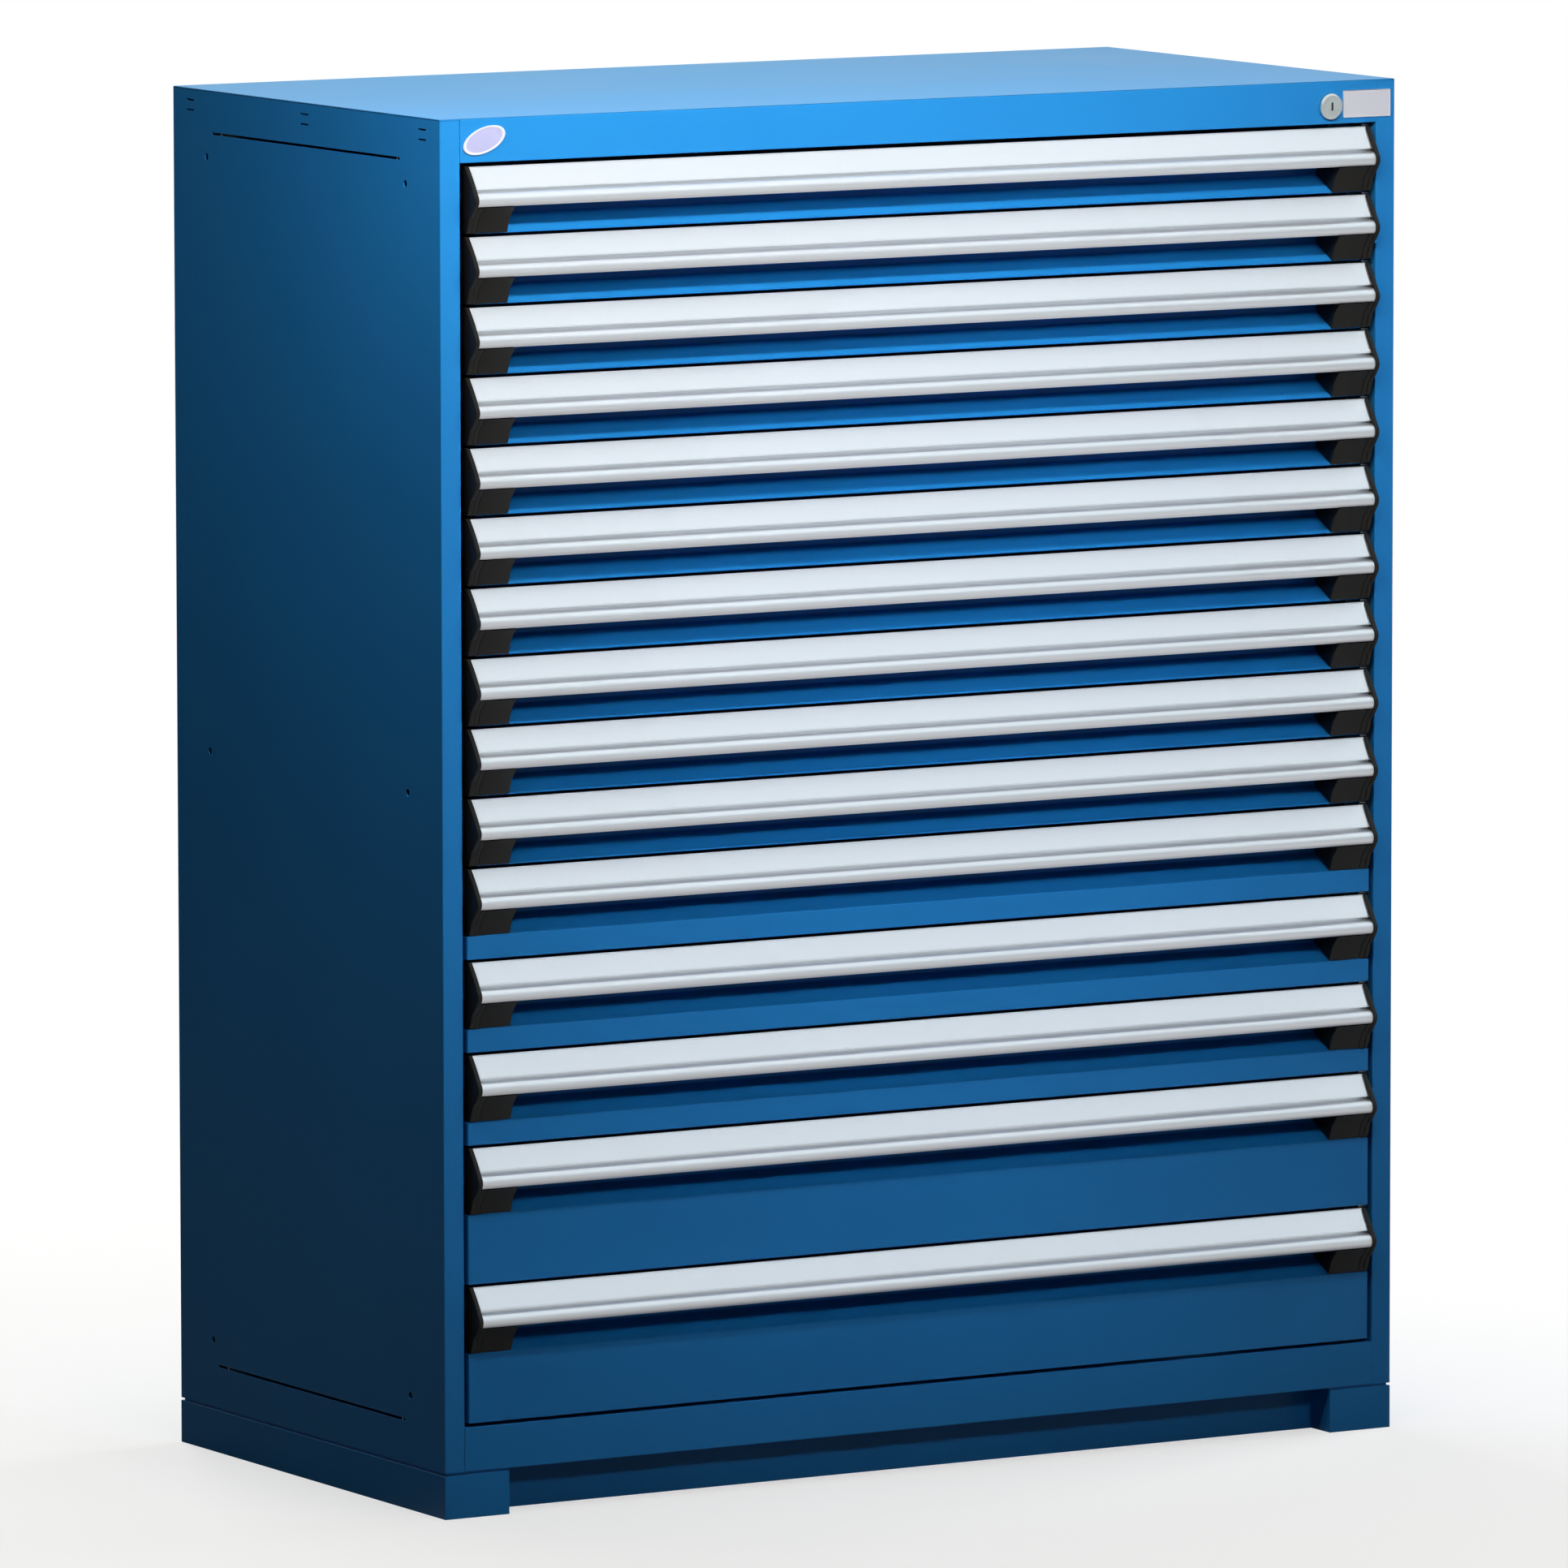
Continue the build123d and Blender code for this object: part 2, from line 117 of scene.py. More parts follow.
# %% [markdown]
# ## Powder coat on steel
# The housing, base and drawers are steel sheet with a baked blue powder coat. The powder melts
# into a film with a faint orange peel, a few millimetres from crest to crest, so highlights are
# soft and slightly broken. The film is a little thicker in some places, which shifts its colour
# by a few percent. A picture of paint could be wrapped around each sheet, but it would stretch
# and repeat. Two layers of noise in object space have the same scale on every piece instead. Real
# peel is about 1.5 mm; here it is 5 mm, as coarse as it needs to be to show.

# %% Powder coat
peel_mm = 5
film_mm = 260


def powder_coat(name, light, dark):
    material, tree, shader = new_material(name)
    place = add_node(tree, "ShaderNodeTexCoord").outputs["Object"]
    film = noise(tree, place, per_metre(film_mm), 3.0)
    peel = noise(tree, place, per_metre(peel_mm), 1.0)
    tone = add_node(tree, "ShaderNodeMix", {"Factor": film}, data_type="RGBA")
    tone.inputs["A"].default_value = colour(dark)
    tone.inputs["B"].default_value = colour(light)
    tree.links.new(tone.outputs["Result"], shader.inputs["Base Color"])
    tree.links.new(map_range(tree, film, 0.30, 0.38), shader.inputs["Roughness"])
    tree.links.new(bump_from(tree, peel, 0.12, mm(0.15)), shader.inputs["Normal"])
    shader.inputs["Specular IOR Level"].default_value = 0.22
    return material


blue_coat = powder_coat("blue_powder_coated_steel", "#2383C8", "#1F79BE")
print("material", blue_coat.name)

# %% [markdown]
# ## Anodised aluminium
# The handles are aluminium extrusions. The die leaves fine lines along their length, and the
# satin anodising scatters what they reflect, so the metal looks nearly white where it mirrors the
# room and grey elsewhere. The oxide film is not pure metal: it scatters some light like a paint,
# so the metallic value stays a little under one. The lines could be modelled or drawn as a
# picture. Stretched noise, long along X and just under a millimetre across, makes them without a
# seam, coarser than real die lines so that they show. The strip in the handle's face is a coated
# foil of the same look, a touch duller.

# %% Satin anodised aluminium
die_line_mm = 0.9
die_run_mm = 500


def anodised_aluminium(name, tint, metallic):
    material, tree, shader = new_material(name)
    place = add_node(tree, "ShaderNodeTexCoord").outputs["Object"]
    stretch = (per_metre(die_run_mm), per_metre(die_line_mm), per_metre(die_line_mm))
    along_die = add_node(tree, "ShaderNodeMapping", {"Vector": place, "Scale": stretch})
    grain = noise(tree, along_die.outputs["Vector"], 1.0)
    shader.inputs["Base Color"].default_value = colour(tint)
    shader.inputs["Metallic"].default_value = metallic
    tree.links.new(map_range(tree, grain, 0.32, 0.42), shader.inputs["Roughness"])
    tree.links.new(bump_from(tree, grain, 0.08, mm(0.1)), shader.inputs["Normal"])
    return material


satin_aluminium = anodised_aluminium("satin_anodised_aluminium", "#F4F5F8", 0.85)
label_strip = anodised_aluminium("silver_label_strip", "#F0F1F5", 0.8)
print("materials", satin_aluminium.name, label_strip.name)

# %% [markdown]
# ## Plastics
# The handles' end caps are injection-moulded black ABS with a spark-eroded grain, which kills the
# gloss. In the mesh that grain would take millions of faces, so noise gives it as a bump. It is
# under a millimetre, drawn at 1.5 mm so that it shows. The label is white vinyl and the badge a
# poured resin with a lilac tint. Both are smoother than the caps, so they share the recipe with a
# lower roughness.

# %% Black moulded ABS, white vinyl and badge resin
grain_mm = 1.5


def moulded_plastic(name, tint, roughness):
    material, tree, shader = new_material(name)
    place = add_node(tree, "ShaderNodeTexCoord").outputs["Object"]
    grain = noise(tree, place, per_metre(grain_mm))
    rough = map_range(tree, grain, roughness - 0.06, roughness + 0.06)
    shader.inputs["Base Color"].default_value = colour(tint)
    shader.inputs["Specular IOR Level"].default_value = 0.3
    tree.links.new(rough, shader.inputs["Roughness"])
    tree.links.new(bump_from(tree, grain, 0.15, mm(0.1)), shader.inputs["Normal"])
    return material


black_abs = moulded_plastic("black_moulded_abs", "#15120F", 0.5)
white_vinyl = moulded_plastic("white_vinyl_label", "#C6C8D2", 0.4)
badge_resin = moulded_plastic("domed_resin_badge", "#A4A6CC", 0.2)
print("materials", black_abs.name, white_vinyl.name, badge_resin.name)

# %% [markdown]
# ## Zinc and nickel
# The slides, carriages and uprights are zinc-plated steel, whose crystals show as faint patches
# called spangle. Noise would make clouds of them. The cells of a Voronoi pattern have straight
# sides, as crystals do, so they carry the tone and the roughness. The lock is a die casting with
# satin nickel plate, which is smoother and warmer, and takes the same recipe with paler greys.

# %% Zinc plate and nickel plate
spangle_mm = 9


def plated_metal(name, light, dark, roughness):
    material, tree, shader = new_material(name)
    place = add_node(tree, "ShaderNodeTexCoord").outputs["Object"]
    grid = {"Vector": place, "Scale": per_metre(spangle_mm)}
    spangle = add_node(tree, "ShaderNodeTexVoronoi", grid)
    grey = add_node(tree, "ShaderNodeSeparateColor", {"Color": spangle.outputs["Color"]})
    tone = add_node(tree, "ShaderNodeMix", {"Factor": grey.outputs["Red"]}, data_type="RGBA")
    tone.inputs["A"].default_value = colour(dark)
    tone.inputs["B"].default_value = colour(light)
    rough = map_range(tree, grey.outputs["Green"], roughness - 0.05, roughness + 0.08)
    tree.links.new(tone.outputs["Result"], shader.inputs["Base Color"])
    tree.links.new(rough, shader.inputs["Roughness"])
    shader.inputs["Metallic"].default_value = 1.0
    return material


zinc_plate = plated_metal("zinc_plated_steel", "#B4B8BC", "#A2A6AB", 0.36)
nickel_plate = plated_metal("satin_nickel_plate", "#F0F1EC", "#E8E9E4", 0.26)

# %% [markdown]
# ## Finish of the frame's own parts
# Housing sheets, base, slides and lock have the right shape already, so they keep their meshes
# and get a material and two modifiers. A sheet edge is never knife sharp, and on coated steel it
# shows as a thin line of light. Each edge could be rounded by hand. A bevel modifier does it on
# every part alike and leaves the mesh alone. A weld comes before it, because a bevel needs faces
# that share their edges.

# %% Materials on the frame
coated = ["side_panel_left", "side_panel_right", "back_panel", "top_panel", "bottom_panel",
          "base_frame", "base_toe_plate"]
plated = ["uprights_left", "uprights_right", "cabinet_rails_left", "cabinet_rails_right",
          "lock_bar"]
nickel = ["lock_housing", "lock_plug"]
sheet_radius = mm(0.6)
metal_radius = mm(0.3)


def dress(node, material, radius):
    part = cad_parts[node]
    part.data.materials.clear()
    part.data.materials.append(material)
    weld = part.modifiers.new("weld", "WELD")
    weld.merge_threshold = 0.00001
    bevel = part.modifiers.new("edges", "BEVEL")
    bevel.width = radius
    bevel.segments = 2
    bevel.limit_method = "ANGLE"
    bevel.angle_limit = math.radians(35)
    bevel.harden_normals = True


for name in coated:
    dress(name, blue_coat, sheet_radius)
for name in plated:
    dress(name, zinc_plate, metal_radius)
for name in nickel:
    dress(name, nickel_plate, metal_radius)
print("dressed", len(coated) + len(plated) + len(nickel), "frame parts")

# %% [markdown]
# ## Drawing a section
# Extrusions and folded sheets are the same all along, so they start from a side view: a section
# in the Y-Z plane. A cube could be pushed and cut into such a shape. Here the section is drawn as
# by hand, by extruding one vertex from point to point, because each corner then has its measured
# place. It is closed into a face, or left open as a fold line. Points are given as how far they
# stand out of the front plane and how far they lie below the top of the drawer's module, both in
# millimetres. Faces and edges are picked in code by the way they point: those within eight
# degrees of a direction count as facing it.

# %% Picking faces and edges
facing = 0.99


def deselect():
    if bpy.context.mode != "OBJECT":
        bpy.ops.object.mode_set(mode="OBJECT")
    bpy.ops.object.select_all(action="DESELECT")


def select_where(piece, kind, wanted):
    bpy.ops.object.mode_set(mode="EDIT")
    bpy.ops.mesh.select_all(action="DESELECT")
    bpy.ops.object.mode_set(mode="OBJECT")
    elements = piece.data.polygons if kind == "FACE" else piece.data.edges
    for element in elements:
        element.select = wanted(element)
    bpy.ops.object.mode_set(mode="EDIT")
    bpy.ops.mesh.select_mode(type=kind)


def direction(piece, edge):
    start, end = [piece.data.vertices[i].co for i in edge.vertices]
    return (end - start).normalized()


def leave_edit_mode():
    bpy.ops.mesh.select_mode(type="VERT")
    bpy.ops.object.mode_set(mode="OBJECT")


# %% Drawing and extruding a section
def section_at(x, points):
    return [Vector((x, front_y - mm(p.x), -mm(p.y))) for p in points]


def draw_chain(name, points):
    deselect()
    bpy.ops.mesh.primitive_plane_add(size=mm(1), location=points[0])
    piece = bpy.context.object
    piece.name = name
    piece.data.name = name
    bpy.ops.object.transform_apply(location=True, rotation=True, scale=True)
    bpy.ops.object.mode_set(mode="EDIT")
    bpy.ops.mesh.merge(type="CENTER")
    for here, there in zip(points, points[1:]):
        bpy.ops.mesh.extrude_region_move(TRANSFORM_OT_translate={"value": there - here})
    return piece


def extrude_section(name, points, run):
    piece = draw_chain(name, points + points[:1])
    bpy.ops.mesh.select_all(action="SELECT")
    bpy.ops.mesh.remove_doubles(threshold=0.000001)
    bpy.ops.mesh.edge_face_add()
    bpy.ops.mesh.extrude_region_move(TRANSFORM_OT_translate={"value": run})
    bpy.ops.mesh.select_all(action="SELECT")
    bpy.ops.mesh.normals_make_consistent(inside=False)
    bpy.ops.object.mode_set(mode="OBJECT")
    return piece


# %% Joining and softening
def join_parts(parts):
    deselect()
    for part in parts:
        part.select_set(True)
    bpy.context.view_layer.objects.active = parts[0]
    bpy.ops.object.join()
    return parts[0]


def apply_modifier(piece, kind, **settings):
    bpy.context.view_layer.objects.active = piece
    modifier = piece.modifiers.new(kind.lower(), kind)
    for name, value in settings.items():
        setattr(modifier, name, value)
    bpy.ops.object.modifier_apply(modifier=modifier.name)


def soften(piece, radius, segments=2, angle=35):
    apply_modifier(
        piece, "BEVEL", width=radius, segments=segments, limit_method="ANGLE",
        angle_limit=math.radians(angle),
    )
    deselect()
    piece.select_set(True)
    bpy.context.view_layer.objects.active = piece
    bpy.ops.object.shade_smooth_by_angle(angle=math.radians(angle))


# %% [markdown]
# ## Folded sheet
# A drawer front is one sheet, folded. It could be cut out of a block, but then its thickness
# would have to be kept even by eye. It is made the way the press brake makes it: a chain of
# flats, drawn out to its width, rounded along the fold lines, then given its thickness. The
# rounding has to come before the thickness, so that both faces of a fold share a centre, as in
# real sheet.

# %% Fold a sheet along a chain
def round_folds(piece, run, radius):
    bpy.ops.object.mode_set(mode="OBJECT")
    faces_at = {}
    for polygon in piece.data.polygons:
        for key in polygon.edge_keys:
            faces_at[key] = faces_at.get(key, 0) + 1

    def is_fold(edge):
        along = abs(direction(piece, edge).dot(run.normalized())) > facing
        return along and faces_at.get(edge.key, 0) == 2

    select_where(piece, "EDGE", is_fold)
    bpy.ops.mesh.bevel(offset=radius, segments=3, affect="EDGES")
    leave_edit_mode()


def fold_sheet(name, points, run, thickness, radius):
    piece = draw_chain(name, points)
    bpy.ops.mesh.select_all(action="SELECT")
    bpy.ops.mesh.extrude_region_move(TRANSFORM_OT_translate={"value": run})
    round_folds(piece, run, radius)
    towards_front = -sum(polygon.normal.y * polygon.area for polygon in piece.data.polygons)
    if towards_front < 0:
        bpy.ops.object.mode_set(mode="EDIT")
        bpy.ops.mesh.select_all(action="SELECT")
        bpy.ops.mesh.flip_normals()
        bpy.ops.object.mode_set(mode="OBJECT")
    apply_modifier(piece, "SOLIDIFY", thickness=thickness, offset=-1, use_even_offset=True)
    return piece


# %% [markdown]
# ## Handle extrusion
# Each handle is one extrusion across the drawer. A slanted face carries a shallow channel for the
# label strip, a groove runs under it, and below the groove the wall curls into a round lip for
# the fingers. A short web behind rests on the roof of the recess. The lip could be a bent plate
# joined to the face. Points on two arcs with one centre keep its wall even, and a single section
# then gives the whole handle, as the die does.

# %% Handle measures
cap_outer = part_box("drawer_01_handle")[1].x
cap_wall = mm(5.0)
handle_half = cap_outer - cap_wall
face_top = Vector((-2.5, 1.8))
face_low = Vector((12.3, 26.0))
face_along = (face_low - face_top).normalized()
face_out = Vector((face_along.y, -face_along.x))
face_length = (face_low - face_top).length
wall = 2.0
channel_depth = 0.5
channel_start = 1.2
channel_end = face_length - 1.3
lip_centre = Vector((11.2, 37.8))
lip_radius = 8.8


def on_face(along, depth):
    return face_top + face_along * along - face_out * depth


def on_lip(radius, degrees):
    angle = math.radians(degrees)
    return lip_centre + Vector((radius * math.cos(angle), -radius * math.sin(angle)))


# %% Handle section
lip_angles = [78 - 8 * step for step in range(17)]
slant = (face_low.x - face_top.x) / (face_low.y - face_top.y)
back_top = face_top - face_out * wall
web_high, web_low, web_end = 3.7, 5.7, -14.0


def behind_face(drop):
    return Vector((back_top.x + slant * (drop - back_top.y), drop))


handle_section = [
    face_top, on_face(channel_start, 0), on_face(channel_start, channel_depth),
    on_face(channel_end, channel_depth), on_face(channel_end, 0), face_low,
    Vector((8.0, 26.4)), Vector((8.0, 28.6)),
    *[on_lip(lip_radius, a) for a in lip_angles],
    *[on_lip(lip_radius - wall, a) for a in reversed(lip_angles)],
    Vector((7.6, 31.4)), Vector((6.1, 29.6)), Vector((6.1, 25.2)), Vector((7.9, 23.0)),
    behind_face(web_low), Vector((web_end, web_low)), Vector((web_end, web_high)),
    behind_face(web_high), back_top,
]
handle_master = extrude_section(
    "handle_master", section_at(-handle_half, handle_section), Vector((2 * handle_half, 0, 0)),
)
soften(handle_master, mm(0.3))
handle_master.data.materials.append(satin_aluminium)
print("handle faces", len(handle_master.data.polygons))

# %% [markdown]
# ## Label strip
# A silver strip, blank on this cabinet, slides into the handle's channel to take a list of what
# the drawer holds. It could be a second colour on the handle's face, but a strip of its own has
# real edges. It sits 0.15 mm below the channel's edges, so that a hairline shows along both.

# %% Label strip in its channel
strip_half = handle_half - mm(2.0)
strip_play = 0.15
strip_thickness = 0.35
strip_start, strip_end = channel_start + strip_play, channel_end - strip_play
strip_front = channel_depth - strip_thickness
strip_corners = [
    on_face(strip_start, strip_front), on_face(strip_end, strip_front),
    on_face(strip_end, channel_depth), on_face(strip_start, channel_depth),
]
strip_master = extrude_section(
    "strip_master", section_at(-strip_half, strip_corners), Vector((2 * strip_half, 0, 0)),
)
soften(strip_master, mm(0.15), segments=1)
strip_master.data.materials.append(label_strip)
print("strip", round(2 * strip_half, 4), "long")

# %% [markdown]
# ## End caps
# A black moulded cap closes each end of the handle. It has a thin cheek that follows the handle's
# outline with a slight belly in front of the slanted face, and a block that fills the end of the
# finger recess below the lip. The block stops against the recess's sloped floor. The cap could be
# shaped from one lump. Three extruded sections side by side keep its sides flat where the mould
# is flat, and only their corners are softened.

# %% Recess and cap measures
block_width = mm(46.0)
cheek_back = 10.0
seat_gap = 0.3
recess_end = opening_x - mm(19.0)
recess_depth = 33.0
recess_back_drop = 56.5
crease_drop = 74.5
floor_rise = (crease_drop - recess_back_drop) / recess_depth
cap_radius = lip_radius + 0.95
knee = Vector((6.2, 58.0))


def belly(start, end, height, count):
    side = Vector(((end - start).y, -(end - start).x)).normalized()
    steps = [(i + 1) / (count + 1) for i in range(count)]
    return [start.lerp(end, t) + side * height * 4 * t * (1 - t) for t in steps]


# %% Cheek of the cap
cheek_top = Vector((-2.5, 1.35))
cheek_foot = Vector((0, crease_drop - 0.5))
nose = [on_lip(cap_radius, a) for a in range(45, -46, -9)]
cheek = [
    cheek_top, *belly(cheek_top, nose[0], 0.8, 7), *nose,
    *belly(nose[-1], knee, 0.6, 3), knee, *belly(knee, cheek_foot, 0.8, 3),
    cheek_foot, Vector((-cheek_back, cheek_foot.y)), Vector((-cheek_back, cheek_top.y)),
]
print("points on the cheek", len(cheek))

# %% Block of the cap and the whole cap
block_gap = 0.8
block_top = on_lip(lip_radius, -50).y + block_gap
fall = (block_top - nose[-1].y) / (knee.y - nose[-1].y)
block_front = [nose[-1].lerp(knee, fall), knee, Vector((0.0, crease_drop - seat_gap))]
block_inner = handle_half - block_width
block_spans = [
    (block_inner, recess_end, recess_depth - seat_gap), (recess_end, handle_half, cheek_back),
]


def cap_pieces(side):
    parts = []
    spans = [(handle_half, cap_outer, cheek)]
    for x0, x1, depth in block_spans:
        floor_drop = crease_drop - floor_rise * depth - seat_gap
        outline = block_front + [Vector((-depth, floor_drop)), Vector((-depth, block_top))]
        spans.append((x0, x1, outline))
    for index, (x0, x1, outline) in enumerate(spans):
        points, outwards = section_at(side * x0, outline), Vector((side * (x1 - x0), 0, 0))
        parts.append(extrude_section(f"cap_part_{index}", points, outwards))
        soften(parts[-1], mm(1.2) if index == 1 else mm(0.5), segments=3)
    cap = join_parts(parts)
    cap.name = "cap_master_right" if side > 0 else "cap_master_left"
    cap.data.materials.append(black_abs)
    return cap


cap_masters = {"right": cap_pieces(1), "left": cap_pieces(-1)}
print("cap faces", len(cap_masters["right"].data.polygons))

# %% [markdown]
# ## Drawer front
# The front is folded sheet. From the crease it goes in and up as the sloped floor of the finger
# recess, up the recess's back and forward again as the roof that the handle's web rests on. On a
# shallow drawer the sheet also folds back below the crease. The taller ones have a flat panel
# below it, wider than the recess: it has a return flange at each side and one at the bottom, and
# meets the slope at the crease, where the real one has its last fold. The recess could be cut
# into a thick plate, but an open drawer shows the front from above and behind, so the sheet has
# to be thin all over.

# %% Measures of the fronts
front_gap = 1.7
sheet = 1.5
panel_half = opening_x - mm(5.5)
fold_radius = mm(1.6)
return_depth = 10
flange_set = 0.6
crease_play = 0.2
roof_drop = 7.2
roof_front = -5.2
heights = {"shallow": 76.2, "middle": 101.6, "deep": 152.4}


# %% A block between two corners
def block(name, low, high):
    deselect()
    middle = [(a + b) / 2 for a, b in zip(low, high)]
    size = [b - a for a, b in zip(low, high)]
    bpy.ops.mesh.primitive_cube_add(size=1, location=middle, scale=size)
    bpy.ops.object.transform_apply(location=True, rotation=True, scale=True)
    piece = bpy.context.object
    piece.name = name
    piece.data.name = name
    return piece


# %% Flat panel of a taller front
def flat_panel(name, bottom):
    half, back = panel_half, front_y + mm(return_depth)
    plan = [(-half, back), (-half, front_y), (half, front_y), (half, back)]
    corner = [Vector((x, y, -mm(bottom))) for x, y in plan]
    rise = Vector((0, 0, mm(bottom - crease_drop - crease_play)))
    panel = fold_sheet(f"{name}_panel", corner, rise, mm(sheet), fold_radius)
    low = (-recess_end, front_y + mm(flange_set), -mm(bottom))
    high = (recess_end, front_y + mm(recess_depth + sheet), -mm(bottom - sheet))
    return [panel, block(f"{name}_flange", low, high)]


# %% Drawer fronts for the three heights
def front_sheet(name, height):
    bottom = height - front_gap
    chain = [
        Vector((0, crease_drop)), Vector((-recess_depth, recess_back_drop)),
        Vector((-recess_depth, roof_drop)), Vector((roof_front, roof_drop)),
    ]
    if height == heights["shallow"]:
        chain.insert(0, Vector((-recess_depth - sheet, bottom)))
    across = Vector((2 * recess_end, 0, 0))
    parts = [fold_sheet(name, section_at(-recess_end, chain), across, mm(sheet), fold_radius)]
    if height > heights["shallow"]:
        parts += flat_panel(name, bottom)
    piece = join_parts(parts)
    soften(piece, mm(0.25), segments=1)
    piece.data.materials.append(blue_coat)
    return piece


front_masters = {kind: front_sheet(f"front_{kind}", height) for kind, height in heights.items()}

# %% Compare the fronts with the opening
for kind, front in front_masters.items():
    corners = [Vector(c) for c in front.bound_box]
    width = max(c.x for c in corners) - min(c.x for c in corners)
    print(kind, "front is", round(width, 4), "wide in an opening of", round(2 * opening_x, 4))

# %% [markdown]
# ## Trays, channels and catches
# Behind the front hangs an open tray of the same sheet. A zinc-plated C channel is welded to each
# of its sides, open outwards, and a small catch plate on the right side meets the lock bar's toe.
# The tray could be put together from five plates. A box without its lid, thickened inwards, has
# closed corners at once. The channels and the catch are extruded from their outlines.

# %% Measures of the tray
box_half = opening_x - mm(29.0)
tray_top = -mm(9.0)
tray_front = front_y + mm(recess_depth + sheet)
tray_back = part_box("drawer_01_box")[1].y
print("tray", round(2 * box_half, 4), "wide and", round(tray_back - tray_front, 4), "deep")


# %% Trays
def tray(name, height):
    bottom = mm(front_gap - height)
    piece = block(name, (-box_half, tray_front, bottom), (box_half, tray_back, tray_top))
    select_where(piece, "FACE", lambda face: face.normal.z > facing)
    bpy.ops.mesh.delete(type="FACE")
    leave_edit_mode()
    apply_modifier(piece, "SOLIDIFY", thickness=mm(sheet), offset=-1, use_even_offset=True)
    soften(piece, mm(0.3), segments=1)
    piece.data.materials.append(blue_coat)
    return piece


tray_masters = {kind: tray(f"tray_{kind}", height) for kind, height in heights.items()}
print("trays", list(tray_masters))

# %% Drawer channels
channel_top, channel_low = -mm(20.0), -mm(46.0)
channel_sheet = mm(2.0)
runner_front = front_y + mm(36.0)
inner_tip = box_half + mm(12.9)


def channel(name, web, tip, start, end):
    step = channel_sheet if tip > web else -channel_sheet
    section = [
        (web, channel_top), (tip, channel_top), (tip, channel_top - channel_sheet),
        (web + step, channel_top - channel_sheet), (web + step, channel_low + channel_sheet),
        (tip, channel_low + channel_sheet), (tip, channel_low), (web, channel_low),
    ]
    points = [Vector((x, start, z)) for x, z in section]
    piece = extrude_section(name, points, Vector((0, end - start, 0)))
    soften(piece, mm(0.4))
    piece.data.materials.append(zinc_plate)
    return piece


runner_masters = {
    "right": channel("runner_master_right", box_half, inner_tip, runner_front, tray_back),
    "left": channel("runner_master_left", -box_half, -inner_tip, runner_front, tray_back),
}
print("channels", round(tray_back - runner_front, 4), "long")

# %% Catch plate
catch_tip = opening_x - mm(2.0)
catch_arm = catch_tip - mm(15.0)
catch_front = front_y + mm(18.0)
catch_root = tray_front + mm(sheet)
catch_end = catch_root + mm(24.0)
catch_plan = [
    (box_half, catch_root), (catch_arm, catch_root), (catch_arm, catch_front),
    (catch_tip, catch_front), (catch_tip, catch_end), (box_half, catch_end),
]
catch_master = extrude_section(
    "catch_master", [Vector((x, y, -mm(15.0))) for x, y in catch_plan], Vector((0, 0, mm(2.0))),
)
soften(catch_master, mm(0.3))
catch_master.data.materials.append(zinc_plate)
print("catch faces", len(catch_master.data.polygons))

# %% [markdown]
# ## Roller carriages
# Between the housing's channel and the drawer's runs a flat bar with four steel rollers on fixed
# studs: the rear pair rolls in the outer channel, the front pair in the inner one. The bar
# travels half as far as the drawer, which lets the drawer come out whole. A roller could be spun
# from a profile. A short cylinder with softened rims has the same shape for less work.

# %% Places of the bar and its rollers
roller_radius = mm(10.95)
roller_height = (channel_top + channel_low) / 2
bar_half_height = mm(10.0)
bar_wall = mm(2.0)
outer_channel_width = mm(12.7)
half_travel = mm(270.0)
roller_inset = roller_radius + mm(1.5)
bar_in = (inner_tip + opening_x - outer_channel_width - bar_wall) / 2
bar_out = bar_in + bar_wall
carriage_start = front_y + mm(30.0)
carriage_end = back_y - mm(28.0)
outer_channel_front = front_y + mm(26.0)
outer_rollers = (outer_channel_front + half_travel + roller_inset, carriage_end - roller_inset)
inner_rollers = (runner_front + roller_inset, tray_back - half_travel - roller_inset)
outer_face = opening_x - mm(2.6)
inner_face = box_half + mm(2.6)
print("rollers at y", [round(y, 4) for y in (*outer_rollers, *inner_rollers)])


# %% Carriages with round rollers
def roller(y, x0, x1):
    deselect()
    bpy.ops.mesh.primitive_cylinder_add(
        vertices=40, radius=roller_radius, depth=abs(x1 - x0),
        location=((x0 + x1) / 2, y, roller_height), rotation=(0, math.radians(90), 0),
    )
    bpy.ops.object.transform_apply(location=True, rotation=True, scale=True)
    wheel = bpy.context.object
    soften(wheel, mm(0.8))
    return wheel


def carriage(side):
    x0, x1 = sorted((side * bar_in, side * bar_out))
    low = (x0, carriage_start, roller_height - bar_half_height)
    high = (x1, carriage_end, roller_height + bar_half_height)
    bar = block("bar", low, high)
    soften(bar, mm(0.4))
    parts = [bar]
    parts += [roller(y, side * bar_out, side * outer_face) for y in outer_rollers]
    parts += [roller(y, side * inner_face, side * bar_in) for y in inner_rollers]
    bar = join_parts(parts)
    bar.data.materials.append(zinc_plate)
    return bar


carriage_masters = {"right": carriage(1), "left": carriage(-1)}
print("carriage faces", len(carriage_masters["right"].data.polygons))

# %% [markdown]
# ## Fifteen drawers
# The masters were drawn for a drawer whose module top is at z = 0. Each drawer gets its own
# copies, lifted to its place in the stack, so the ten shallow, three middle and two deep drawers
# share their parts as the real ones do. An array could repeat them, but they would then move as
# one piece. Copies with their own mesh each ride on their own drawer.

# %% Copy the masters into every drawer
kinds = ["shallow"] * 10 + ["middle"] * 3 + ["deep"] * 2
handle_drop = mm(1.3)


def set_in_place(master, name, lift, body, node):
    piece = master.copy()
    piece.data = master.data.copy()
    piece.name = name
    piece.data.name = name
    piece.data.transform(Matrix.Translation((0, 0, lift)))
    bpy.context.scene.collection.objects.link(piece)
    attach(piece, body)
    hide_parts(node)


